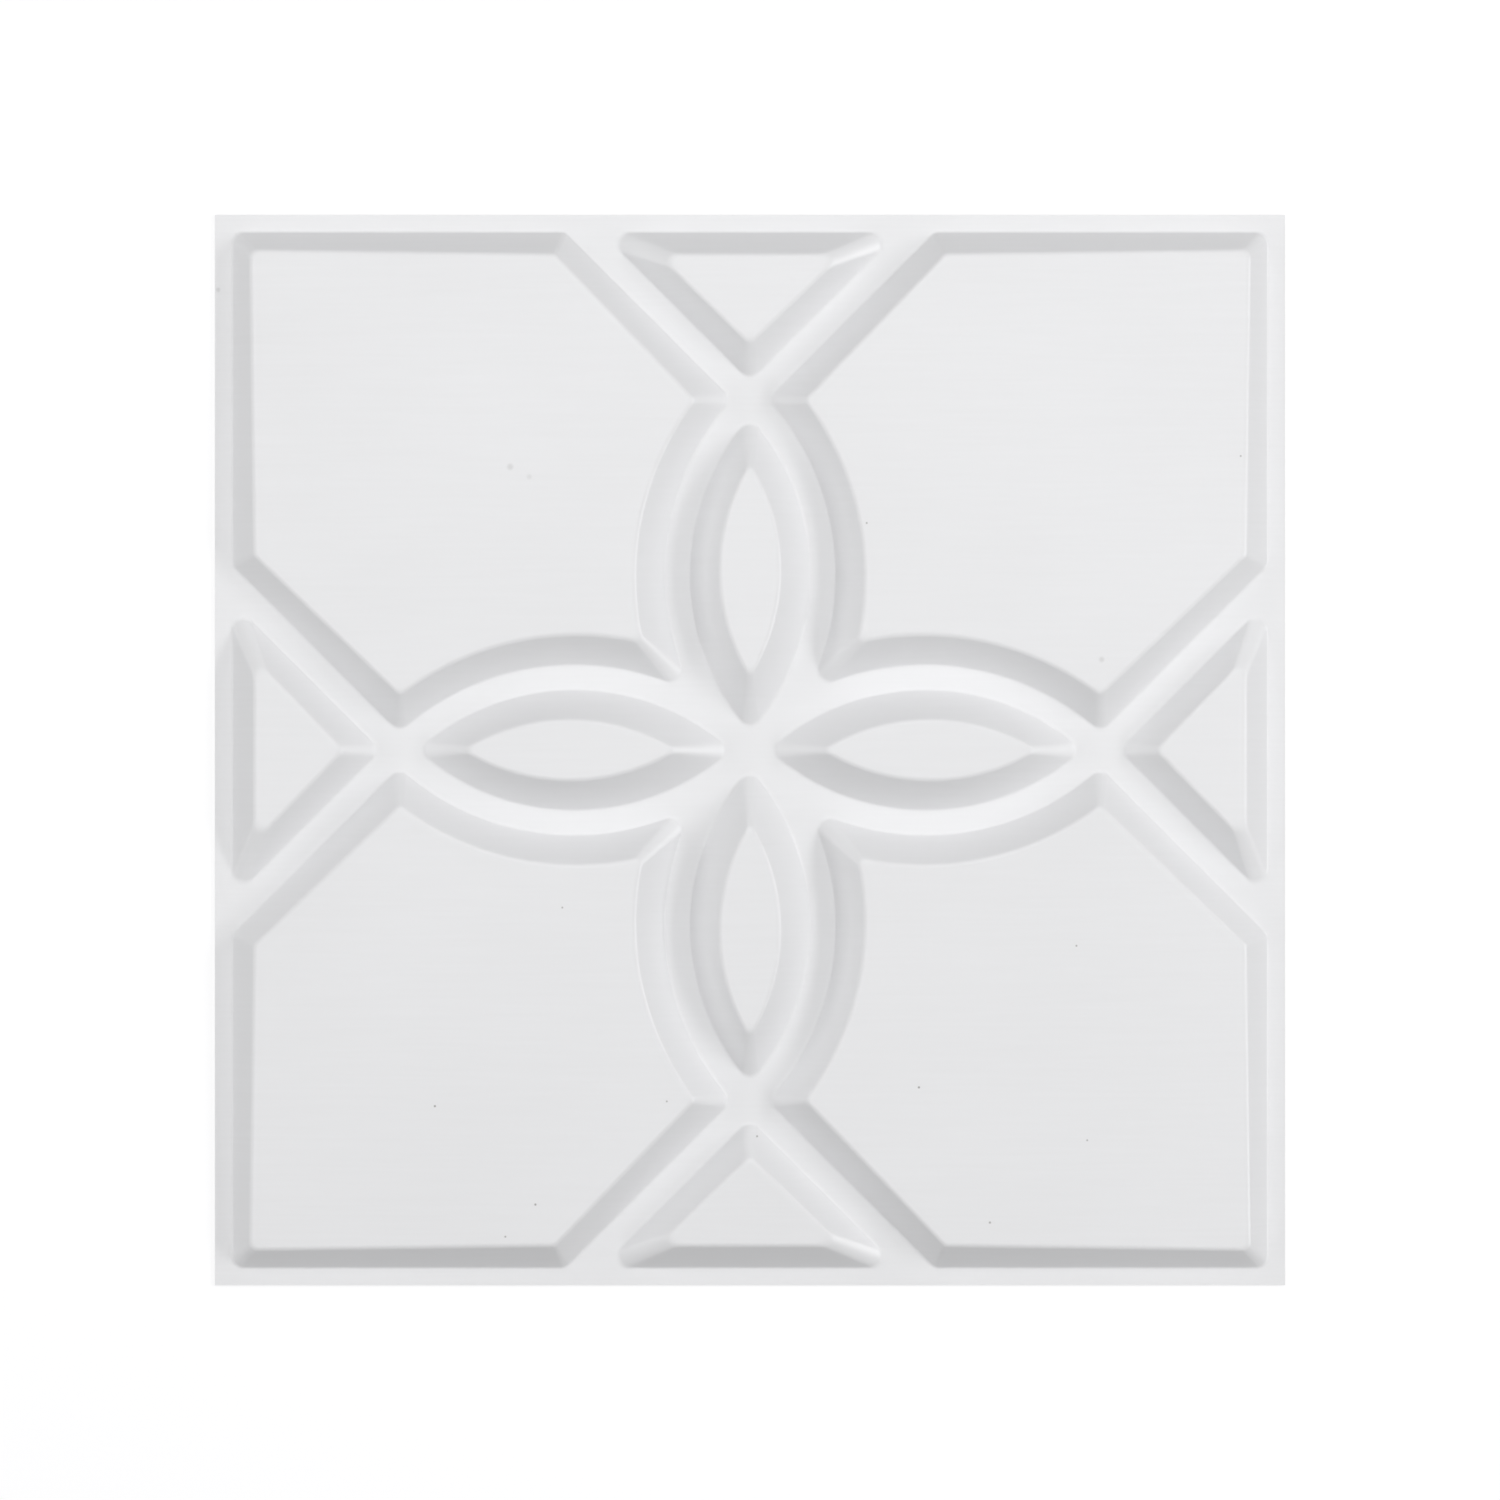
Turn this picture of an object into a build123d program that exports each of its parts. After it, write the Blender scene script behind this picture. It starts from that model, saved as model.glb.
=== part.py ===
from build123d import *
import math
import os

# Driving dimensions, in millimetres and degrees
panel_side = 500.0     # square panel, edge to edge
sheet = 1.0            # thickness of the formed sheet
rim = 8.2              # flat margin from the panel's edge to the first slope
band = 12.0            # flat width of the sunken bands
petal_length = 164.0   # panel centre to the point where the diagonal bands cross
relief = 18.6          # height above the bands that the leaning tops would reach at the centre
lean = 1.4             # slope of the pads' flat tops, down towards the panel's edge
wall_angle = 50.0      # slope of the walls, measured from the back plane
ridge_round = 3.0      # rounding of the sloping corners between two walls
top_round = 2.4        # rounding of the pads' upper edges

# A wall that rises by one millimetre runs in by this much
run = 1 / math.tan(math.radians(wall_angle))
# Step in plan between the front and the back of the sheet at the foot of a wall
fold = sheet * math.tan(math.radians(wall_angle / 2))
# The back is folded sharp, so a rounding takes no more than the sheet can spare
most_round = 3.5 * sheet


def band_lines():
    # Each band is an S of two quarter circles with a straight tail at either end
    tip = petal_length
    bow = tip / 2 * (math.sqrt(2) - 1)
    tail = panel_side / 2
    line = Wire([
        Edge.make_line((-tail, tip + tail), (0, tip)),
        Edge.make_three_point_arc((0, tip), (bow, tip / 2), (0, 0)),
        Edge.make_three_point_arc((0, 0), (-bow, -tip / 2), (0, -tip)),
        Edge.make_line((0, -tip), (tail, -tip - tail)),
    ])
    pair = [line, line.mirror(Plane.YZ)]
    return pair + [one.rotate(Axis.Z, 90) for one in pair]


def channel(line, floor_width, floor_z):
    # A flared channel along a band, deep enough to part the pads
    across = Vector(0, 0, 1).cross(line % 0)
    section = Plane(origin=line @ 0, x_dir=across, z_dir=line % 0)
    low = floor_width / 2
    high = low + run * relief
    top = floor_z + relief
    flare = Polygon((-low, floor_z), (low, floor_z), (high, top), (-high, top), align=None)
    return sweep(section * flare, path=line)


def pads(foot_inset, foot_z):
    # One corner field, one petal and one edge triangle, each under a flat top that leans outwards
    side = panel_side - 2 * (rim + foot_inset)
    block = extrude(Pos(0, 0, foot_z) * Rectangle(side, side), amount=relief, taper=90 - wall_angle)
    for line in band_lines():
        block -= channel(line, band + 2 * foot_inset, foot_z)
    quarter = [pad for pad in block.solids() if pad.center().X > -rim and pad.center().Y > rim]
    leaning = []
    for pad in quarter:
        outward = math.degrees(math.atan2(pad.center().Y, pad.center().X))
        upright = Vector(0, 0, 1).rotate(Axis.Y, lean).rotate(Axis.Z, outward)
        top = Plane(origin=(0, 0, foot_z + relief), z_dir=upright)
        leaning.append(split(pad, bisect_by=top, keep=Keep.BOTTOM))
    return leaning


def rounded(pad):
    # Ridges first, then the edge all round the top
    height = pad.bounding_box().size.Z
    ridges = [e for e in pad.edges() if abs((e @ 0).Z - (e @ 1).Z) > height / 2]
    pad = fillet(ridges, min(ridge_round, most_round))
    crown = pad.faces().sort_by(Axis.Z)[-1]
    return fillet(crown.edges(), min(top_round, most_round))


def all_round(shapes):
    # Copies of a quarter's pads in the other three quarters
    return [Rot(0, 0, turn) * shape for shape in shapes for turn in (0, 90, 180, 270)]


def wall_panel():
    plate = Pos(0, 0, sheet / 2) * Box(panel_side, panel_side, sheet)
    front = all_round([rounded(pad) for pad in pads(0, sheet)])
    hollows = all_round(pads(fold, 0))
    return plate + front - hollows


os.makedirs("parts", exist_ok=True)
export_step(wall_panel(), "parts/wall_panel.step")
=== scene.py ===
import math

import bpy
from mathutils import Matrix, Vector


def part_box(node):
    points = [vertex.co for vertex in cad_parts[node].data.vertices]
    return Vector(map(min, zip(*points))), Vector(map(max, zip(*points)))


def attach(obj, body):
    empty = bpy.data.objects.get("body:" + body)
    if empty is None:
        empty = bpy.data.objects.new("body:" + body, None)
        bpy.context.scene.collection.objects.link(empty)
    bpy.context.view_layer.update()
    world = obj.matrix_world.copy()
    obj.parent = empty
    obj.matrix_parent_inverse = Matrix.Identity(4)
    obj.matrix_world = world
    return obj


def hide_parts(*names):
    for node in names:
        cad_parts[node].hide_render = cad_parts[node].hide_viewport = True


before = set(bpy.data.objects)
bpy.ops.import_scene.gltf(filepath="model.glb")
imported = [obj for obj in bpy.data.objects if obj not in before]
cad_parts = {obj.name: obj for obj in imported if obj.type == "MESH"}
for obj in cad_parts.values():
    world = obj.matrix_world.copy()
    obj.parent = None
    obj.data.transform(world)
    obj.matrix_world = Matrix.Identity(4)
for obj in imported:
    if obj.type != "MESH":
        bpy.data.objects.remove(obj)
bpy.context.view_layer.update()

nearCorner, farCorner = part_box("wall_panel")
mm = 0.001

panel = {                                                # sizes in millimetres, angles in degrees
    "side": (farCorner.x - nearCorner.x) / mm,
    "sheet": 1.0,                                        # wall of the formed sheet
    "rim": 8.2,                                          # flat margin before the first slope
    "band": 12.0,                                        # flat width of the sunken bands
    "petalLength": 164.0,                                # centre to the crossing of the diagonal bands
    "relief": 18.6,                                      # height the leaning tops would reach at the centre
    "lean": 1.4,                                         # fall of the tops towards the edge
    "wallAngle": 50.0,
    "ridgeFoot": 5.5,                                    # rounding of a ridge between two walls, at its foot
    "ridgeTop": {"field": 3.0, "petal": 2.0, "triangle": 3.5},   # and where the walls reach full height
    "topRound": 3.4,                                     # rounding of the pads' upper edges
    "footRound": 2.0,                                    # rounding where a wall meets the band
    "footStrip": 1.2,                                    # flat strips kept beside the roundings
    "topStrip": 0.3,
    "arcStep": 3.0,                                      # spacing of points on curved sides
    "lineStep": 5.0,
    "fewestSteps": 4,                                    # a short side still gets this many
    "cornerSteps": 8,                                    # points round a ridge
    "roundSteps": 5,                                     # points across a rounding
    "edgeCuts": 60,                                      # points put along each edge of the sheet
    "smoothAngle": 40,
    "merge": 0.001,                                      # points nearer than this are one
    "spotDigits": 7,                                     # metres, so to a tenth of a micrometre
}


def deselectAll():
    if bpy.context.object and bpy.context.object.mode != "OBJECT":
        bpy.ops.object.mode_set(mode="OBJECT")
    bpy.ops.object.select_all(action="DESELECT")


# Outlines: each pad is a loop of sides, lines or arcs, with the pad on the left
def line(through, direction, start):
    return {"through": Vector(through), "along": Vector(direction).normalized(), "start": Vector(start)}


def arc(centre, radius, inside, start):                  # inside is 1 for a pad within the circle, else -1
    return {"centre": Vector(centre), "radius": radius, "inside": inside, "start": Vector(start)}


def padSides():
    edge = panel["side"] / 2 - panel["rim"]
    half, tip = panel["petalLength"] / 2, panel["petalLength"]
    mid = half * math.sqrt(2)                            # radius of a band's middle line
    step = panel["band"] / math.sqrt(2)                  # half a band, measured along an edge
    near, far = tip - step, tip + step
    outer, inner = mid + panel["band"] / 2, mid - panel["band"] / 2
    return {
        "field": [
            line((0, edge), (-1, 0), (edge, edge)),
            line((0, near), (-1, -1), (edge - near, edge)),
            arc((-half, half), outer, -1, (step, tip)),
            arc((half, -half), outer, -1, (half / 2, half / 2)),
            line((near, 0), (1, 1), (tip, step)),
            line((edge, 0), (0, 1), (edge, edge - near)),
        ],
        "petal": [
            arc((-half, half), inner, 1, (0, 0)),
            arc((half, half), inner, 1, (0, tip)),
        ],
        "triangle": [
            line((0, far), (1, 1), (0, far)),
            line((0, edge), (-1, 0), (edge - far, edge)),
            line((0, far), (1, -1), (far - edge, edge)),
        ],
    }


def moved(side, inset):                                  # a side shifted into the pad
    if "along" in side:
        left = Vector((-side["along"].y, side["along"].x))
        return {**side, "through": side["through"] + left * inset}
    return {**side, "radius": side["radius"] - side["inside"] * inset}


def crossing(one, two, hint):                            # where two sides meet, nearest to the hint
    if "along" in two and "along" not in one:
        one, two = two, one
    if "along" in one and "along" in two:
        a, b = one["along"], two["along"]
        gap = two["through"] - one["through"]
        return one["through"] + a * ((gap.x * b.y - gap.y * b.x) / (a.x * b.y - a.y * b.x))
    if "along" in one:
        foot = one["through"] + one["along"] * (two["centre"] - one["through"]).dot(one["along"])
        away = one["along"] * math.sqrt(two["radius"] ** 2 - (foot - two["centre"]).length_squared)
    else:
        span = two["centre"] - one["centre"]
        reach = (span.length_squared + one["radius"] ** 2 - two["radius"] ** 2) / (2 * span.length)
        foot = one["centre"] + span.normalized() * reach
        away = Vector((-span.y, span.x)).normalized() * math.sqrt(one["radius"] ** 2 - reach ** 2)
    return min(foot + away, foot - away, key=lambda point: (point - hint).length)


def onSide(side, point):                                 # the nearest point of a side
    if "along" in side:
        return side["through"] + side["along"] * (point - side["through"]).dot(side["along"])
    return side["centre"] + (point - side["centre"]).normalized() * side["radius"]


def between(centre, start, end, steps, turn):            # points of an arc, its end left out
    first = math.atan2(start.y - centre.y, start.x - centre.x)
    sweep = (math.atan2(end.y - centre.y, end.x - centre.x) - first) % math.tau
    sweep = sweep if turn > 0 else sweep - math.tau
    radius = (start - centre).length
    angles = [first + sweep * i / steps for i in range(steps)]
    return [centre + Vector((math.cos(angle), math.sin(angle))) * radius for angle in angles]


def outline(sides, inset, radius, counts):               # a pad's outline, with rounded corners
    shifted = [moved(side, inset) for side in sides]
    deeper = [moved(side, inset + radius) for side in sides]
    centres = [crossing(deeper[i - 1], deeper[i], sides[i]["start"]) for i in range(len(sides))]
    points = []
    for i, side in enumerate(shifted):
        start, end = onSide(side, centres[i]), onSide(side, centres[(i + 1) % len(sides)])
        before = onSide(shifted[i - 1], centres[i])
        points += between(centres[i], before, start, panel["cornerSteps"], 1)
        if "along" in side:
            points += [start.lerp(end, k / counts[i]) for k in range(counts[i])]
        else:
            points += between(side["centre"], start, end, counts[i], side["inside"])
    return points


def sideCounts(sides):
    corners = [crossing(sides[i - 1], sides[i], sides[i]["start"]) for i in range(len(sides))]
    counts = []
    for i, side in enumerate(sides):
        span = (corners[(i + 1) % len(sides)] - corners[i]).length
        step = panel["lineStep"] if "along" in side else panel["arcStep"]
        counts.append(max(panel["fewestSteps"], round(span / step)))
    return counts


def section(foot, full, depth, outward):                 # a wall's section, from the band to the pad's top
    relief, fall = panel["relief"], math.tan(math.radians(panel["lean"]))
    footRound, topRound, steps = panel["footRound"], panel["topRound"], panel["roundSteps"]
    inward = (full - foot).normalized()
    slant = (full - foot).length / depth                 # drawn square to the wall, then slanted
    rise = (relief - fall * foot.dot(outward)) / (relief + fall * (full - foot).dot(outward))
    reach, height = rise * depth, rise * relief
    wall = math.radians(panel["wallAngle"])
    top = math.atan(-fall * inward.dot(outward) * slant)
    footTrim = footRound * math.tan(wall / 2)            # what a rounding takes from the lines beside it
    topTrim = topRound * math.tan((wall - top) / 2)
    track = [(-footTrim - panel["footStrip"], 0)]
    for k in range(steps + 1):
        angle = wall * k / steps
        track.append((footRound * math.sin(angle) - footTrim, footRound * (1 - math.cos(angle))))
    pivotAlong = reach - topTrim * math.cos(wall) + topRound * math.sin(wall)
    pivotUp = height - topTrim * math.sin(wall) - topRound * math.cos(wall)
    for k in range(steps + 1):
        angle = wall + (top - wall) * k / steps
        track.append((pivotAlong - topRound * math.sin(angle), pivotUp + topRound * math.cos(angle)))
    flat = topTrim + panel["topStrip"]
    track.append((reach + flat * math.cos(top), height + flat * math.sin(top)))
    up = Vector((0, 0, panel["sheet"]))
    return [(foot + inward * along * slant).to_3d() + up + Vector((0, 0, climb)) for along, climb in track]


def spot(point):                                         # a place that can be looked up
    return tuple(round(part, panel["spotDigits"]) for part in point)


def makePad(name, sides, outward):                       # a strip wrapped round the pad, then its top filled
    counts = sideCounts(sides)
    depth = panel["relief"] / math.tan(math.radians(panel["wallAngle"]))
    feet = outline(sides, 0, panel["ridgeFoot"], counts)
    fulls = outline(sides, depth, panel["ridgeTop"][name], counts)
    facing = Vector(outward).normalized()
    sections = [section(foot, full, depth, facing) for foot, full in zip(feet, fulls)]
    across = len(sections[0]) - 1
    deselectAll()
    bpy.ops.mesh.primitive_grid_add(x_subdivisions=len(sections), y_subdivisions=across, size=1)
    pad = bpy.context.object
    pad.name = name
    for vertex in pad.data.vertices:
        row, column = divmod(vertex.index, len(sections) + 1)
        vertex.co = sections[column % len(sections)][row] * mm
    bpy.ops.object.mode_set(mode="EDIT")
    bpy.ops.mesh.select_all(action="SELECT")
    bpy.ops.mesh.remove_doubles(threshold=panel["merge"] * mm)
    bpy.ops.object.mode_set(mode="OBJECT")
    inner = {spot(points[across] * mm) for points in sections}
    for vertex in pad.data.vertices:
        vertex.select = spot(vertex.co) in inner
    for face in pad.data.polygons:
        face.select = False
    for edge in pad.data.edges:
        edge.select = all(pad.data.vertices[end].select for end in edge.vertices)
    bpy.ops.object.mode_set(mode="EDIT")
    bpy.ops.mesh.select_mode(type="VERT")
    bpy.ops.mesh.edge_face_add()
    bpy.ops.object.mode_set(mode="OBJECT")
    print(name, len(pad.data.vertices), "vertices", len(pad.data.polygons), "faces")
    return pad


def quarterCopies(pad):                                  # the same pad in the other three quarters
    copies = [pad]
    for turn in (90, 180, 270):
        deselectAll()
        pad.select_set(True)
        bpy.context.view_layer.objects.active = pad
        bpy.ops.object.duplicate()
        bpy.ops.transform.rotate(value=math.radians(turn), orient_axis="Z", center_override=(0, 0, 0))
        bpy.ops.object.transform_apply(location=True, rotation=True, scale=True)
        copies.append(bpy.context.object)
    return copies


def edgeLoop():                                          # the panel's edge, a loop with no face
    deselectAll()
    bpy.ops.mesh.primitive_plane_add(size=panel["side"] * mm, location=(0, 0, panel["sheet"] * mm))
    loop = bpy.context.object
    bpy.ops.object.transform_apply(location=True, rotation=True, scale=True)
    bpy.ops.object.mode_set(mode="EDIT")
    bpy.ops.mesh.select_all(action="SELECT")
    bpy.ops.mesh.delete(type="ONLY_FACE")
    bpy.ops.mesh.select_all(action="SELECT")
    bpy.ops.mesh.subdivide(number_cuts=panel["edgeCuts"])
    bpy.ops.object.mode_set(mode="OBJECT")
    return loop


def fillBands(sheet):                                    # the bands and the rim fill what is left
    bpy.ops.object.mode_set(mode="EDIT")
    bpy.ops.mesh.select_mode(type="EDGE")
    bpy.ops.mesh.select_all(action="DESELECT")
    bpy.ops.mesh.select_non_manifold(extend=False)
    bpy.ops.mesh.fill(use_beauty=True)
    bpy.ops.mesh.select_all(action="SELECT")
    bpy.ops.mesh.normals_make_consistent(inside=False)
    bpy.ops.object.mode_set(mode="OBJECT")
    if sum(face.normal.z * face.area for face in sheet.data.polygons) < 0:
        bpy.ops.object.mode_set(mode="EDIT")
        bpy.ops.mesh.flip_normals()
        bpy.ops.object.mode_set(mode="OBJECT")


def thicken(sheet):                                      # the back follows the front
    wall = sheet.modifiers.new("sheetWall", "SOLIDIFY")
    wall.thickness = panel["sheet"] * mm
    wall.offset = -1
    wall.use_even_offset = True
    bpy.ops.object.modifier_apply(modifier=wall.name)
    bpy.ops.object.shade_smooth_by_angle(angle=math.radians(panel["smoothAngle"]))


def makePanel():
    pads = []
    for kind, sides in padSides().items():
        outward = (1, 1) if kind == "field" else (0, 1)
        pads += quarterCopies(makePad(kind, sides, outward))
    sheet = edgeLoop()
    sheet.name = "formedPanel"
    deselectAll()
    for pad in pads:
        pad.select_set(True)
    sheet.select_set(True)
    bpy.context.view_layer.objects.active = sheet
    bpy.ops.object.join()
    fillBands(sheet)
    thicken(sheet)
    print("formedPanel", len(sheet.data.vertices), "vertices", len(sheet.data.polygons), "faces")
    return sheet


# Shader maths: a socket that joins in sums, and one method for any other node
class Socket:
    def __init__(self, tree, out=None):
        self.tree = tree
        self.out = out

    def node(self, kind, settings=None, sockets=None, out=0):
        made = self.tree.nodes.new(kind)
        for name, value in (settings or {}).items():
            setattr(made, name, value)
        for name, value in (sockets or {}).items():
            if isinstance(value, Socket):
                self.tree.links.new(value.out, made.inputs[name])
            else:
                made.inputs[name].default_value = value
        return Socket(self.tree, made.outputs[out] if made.outputs else None)

    def math(self, operation, one, two):
        return self.node("ShaderNodeMath", {"operation": operation}, {0: one, 1: two})

    def __add__(self, other):
        return self.math("ADD", self, other)

    def __radd__(self, other):
        return self.math("ADD", other, self)

    def __sub__(self, other):
        return self.math("SUBTRACT", self, other)

    def __rsub__(self, other):
        return self.math("SUBTRACT", other, self)

    def __mul__(self, other):
        return self.math("MULTIPLY", self, other)

    def __rmul__(self, other):
        return self.math("MULTIPLY", other, self)


def newMaterial(name):
    material = bpy.data.materials.new(name)
    material.use_nodes = True
    material.node_tree.nodes.clear()
    return material, Socket(material.node_tree)


pvc = {
    "white": (0.797, 0.799, 0.812, 1),                   # cool white of the sheet
    "whiteWorn": (0.745, 0.746, 0.754, 1),               # slightly greyer clouds in it
    "dust": (0.30, 0.29, 0.28, 1),
    "roughness": 0.37,
    "roughSpread": 0.06,                                 # how far clouds and streaks change it
    "dustRough": 0.3,
    "ior": 1.54,
    "clouds": {"scale": 9, "detail": 1, "stretch": (1, 1, 1), "tint": 0.5},
    "streaks": {"scale": 28, "detail": 1, "stretch": (1, 22, 1), "tint": 0.4, "height": 0.5},
    "peel": {"scale": 900, "detail": 2, "stretch": (1, 1, 1), "height": 0.8},
    "bumpStrength": 0.12,
    "bumpDepth": 0.2,                                    # millimetres
    "speckCore": 0.2,                                    # share of a speck that is at full strength
    "specks": [                                          # x, y and reach in millimetres, then strength
        (-111.6, 131.8, 2.2, 0.24),
        (-102.7, 127.1, 1.8, 0.16),
        (163.6, 42.1, 1.9, 0.24),
        (-248.5, 215.0, 1.6, 0.25),
        (-146.7, -165.8, 0.8, 0.9),
        (-99.9, -211.6, 0.8, 0.9),
        (-113.9, -226.6, 0.7, 0.8),
        (111.7, -220.0, 0.8, 0.8),
        (78.6, -157.0, 0.8, 0.95),
        (151.9, -91.1, 0.7, 0.8),
        (157.0, -181.7, 0.7, 0.7),
        (3.3, -180.3, 0.7, 0.8),
        (228.5, 136.9, 0.7, 0.7),
        (54.3, 105.6, 0.7, 0.7),
        (-87.3, -73.3, 0.7, 0.7),
        (-38.7, -163.5, 0.7, 0.7),
    ],
}


def noise(tree, place, look):
    mapped = tree.node("ShaderNodeMapping", sockets={"Vector": place, "Scale": look["stretch"]})
    return tree.node("ShaderNodeTexNoise", sockets={
        "Vector": mapped, "Scale": look["scale"], "Detail": look["detail"]}, out="Fac")


def mixColours(tree, factor, one, two):                  # 6, 7 and 2 are the Mix node's colour sockets
    return tree.node("ShaderNodeMix", {"data_type": "RGBA"}, {"Factor": factor, 6: one, 7: two}, out=2)


def dustSpecks(tree, place):                             # small marks, placed as seen from above
    above = tree.node("ShaderNodeVectorMath", {"operation": "MULTIPLY"}, {0: place, 1: (1, 1, 0)})
    dust = 0
    for x, y, reach, strength in pvc["specks"]:
        away = tree.node("ShaderNodeVectorMath", {"operation": "DISTANCE"}, {
            0: above, 1: (x * mm, y * mm, 0)}, out="Value")
        dust += tree.node("ShaderNodeMapRange", {"interpolation_type": "SMOOTHSTEP"}, {
            "Value": away, "From Min": reach * mm * pvc["speckCore"], "From Max": reach * mm,
            "To Min": strength, "To Max": 0})
    return dust


def pvcMaterial():
    material, tree = newMaterial("whitePvc")
    place = tree.node("ShaderNodeTexCoord", out="Object")
    clouds = noise(tree, place, pvc["clouds"])
    peel = noise(tree, place, pvc["peel"])
    streaks = noise(tree, place, pvc["streaks"])         # faint rolling lines of the sheet, left to right
    dust = dustSpecks(tree, place)
    tint = clouds * pvc["clouds"]["tint"] + streaks * pvc["streaks"]["tint"]
    colour = mixColours(tree, dust, mixColours(tree, tint, pvc["white"], pvc["whiteWorn"]), pvc["dust"])
    uneven = clouds + streaks - 1                        # each of them averages a half
    rough = pvc["roughness"] + uneven * pvc["roughSpread"] + dust * pvc["dustRough"]
    height = peel * pvc["peel"]["height"] + streaks * pvc["streaks"]["height"]
    bump = tree.node("ShaderNodeBump", sockets={
        "Strength": pvc["bumpStrength"], "Distance": pvc["bumpDepth"] * mm, "Height": height})
    shader = tree.node("ShaderNodeBsdfPrincipled", sockets={
        "Base Color": colour, "Roughness": rough, "Normal": bump, "IOR": pvc["ior"]})
    tree.node("ShaderNodeOutputMaterial", sockets={"Surface": shader})
    print("whitePvc", len(pvc["specks"]), "specks of dust")
    return material


studio = {
    "cameraDistance": 3.5,                               # metres above the bands
    "frameWidth": 0.7009,                                # metres across the picture, at the bands
    "sensor": 36,                                        # millimetres
    "clipEnd": 50,
    "softboxes": [                                       # azimuth, elevation, distance, length, width, watts
        ("rightStrip", 0, 33, 2.0, 1.5, 0.3, 16.2),
        ("leftBox", 180, 22, 2.0, 2.2, 0.6, 9.2),
        ("overhead", 90, 88, 2.0, 1.8, 1.8, 12.4),
        ("farBox", 90, 60, 2.0, 1.2, 1.2, 7.7),
        ("leftHigh", 180, 65, 2.0, 1.2, 1.2, 4.5),
    ],
    "fill": 0.18,                                        # even light from all round
    "floorSide": 12,                                     # metres
    "floorDrop": 0.2,                                    # millimetres below the panel's back
    "floorGrey": (0.40, 0.40, 0.405, 1),                 # throws little light back under the walls
    "floorLift": 0.65,                                   # makes it look white, and leaves the shadow
}


def seenRays(tree):                                      # rays to which the background shows its full white
    names = ("Is Camera Ray", "Is Glossy Ray", "Is Transmission Ray")
    return sum(tree.node("ShaderNodeLightPath", out=name) for name in names)


def makeFloor():
    deselectAll()
    bpy.ops.mesh.primitive_plane_add(size=studio["floorSide"], location=(0, 0, -studio["floorDrop"] * mm))
    bpy.ops.object.transform_apply(location=True, rotation=True, scale=True)
    floor = bpy.context.object
    floor.name = "studioFloor"
    material, tree = newMaterial("paleFloor")
    lift = tree.node("ShaderNodeEmission", sockets={"Strength": seenRays(tree) * studio["floorLift"]})
    matt = tree.node("ShaderNodeBsdfDiffuse", sockets={"Color": studio["floorGrey"]})
    tree.node("ShaderNodeOutputMaterial", sockets={
        "Surface": tree.node("ShaderNodeAddShader", sockets={0: matt, 1: lift})})
    floor.data.materials.append(material)


def makeWorld():
    world = bpy.data.worlds.new("studioAir")
    bpy.context.scene.world = world
    world.use_nodes = True
    world.node_tree.nodes.clear()
    tree = Socket(world.node_tree)
    strength = studio["fill"] + seenRays(tree) * (1 - studio["fill"])
    sky = tree.node("ShaderNodeBackground", sockets={"Color": (1, 1, 1, 1), "Strength": strength})
    tree.node("ShaderNodeOutputWorld", sockets={"Surface": sky})


def makeLights():
    for name, azimuth, elevation, distance, length, width, watts in studio["softboxes"]:
        turn, climb = math.radians(azimuth), math.radians(elevation)
        level = math.cos(climb)
        lamp = bpy.data.lights.new(name, "AREA")
        lamp.shape = "RECTANGLE"
        lamp.size = length
        lamp.size_y = width
        lamp.energy = watts
        box = bpy.data.objects.new(name, lamp)
        bpy.context.scene.collection.objects.link(box)
        box.location = Vector((level * math.cos(turn), level * math.sin(turn), math.sin(climb))) * distance
        box.rotation_euler = (-box.location).to_track_quat("-Z", "Y").to_euler()


def makeCamera():
    lens = bpy.data.cameras.new("overhead")
    lens.sensor_width = studio["sensor"]
    lens.lens = studio["sensor"] * studio["cameraDistance"] / studio["frameWidth"]
    lens.clip_end = studio["clipEnd"]
    camera = bpy.data.objects.new("overhead", lens)      # looks straight down, with +Y at the top
    bpy.context.scene.collection.objects.link(camera)
    camera.location.z = studio["cameraDistance"] + panel["sheet"] * mm
    bpy.context.scene.camera = camera


sheet = makePanel()
sheet.data.materials.clear()
sheet.data.materials.append(pvcMaterial())
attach(sheet, "root")
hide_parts("wall_panel")
makeFloor()
makeWorld()
makeLights()
makeCamera()
bpy.context.scene.view_settings.view_transform = "Standard"
print("studio ready")
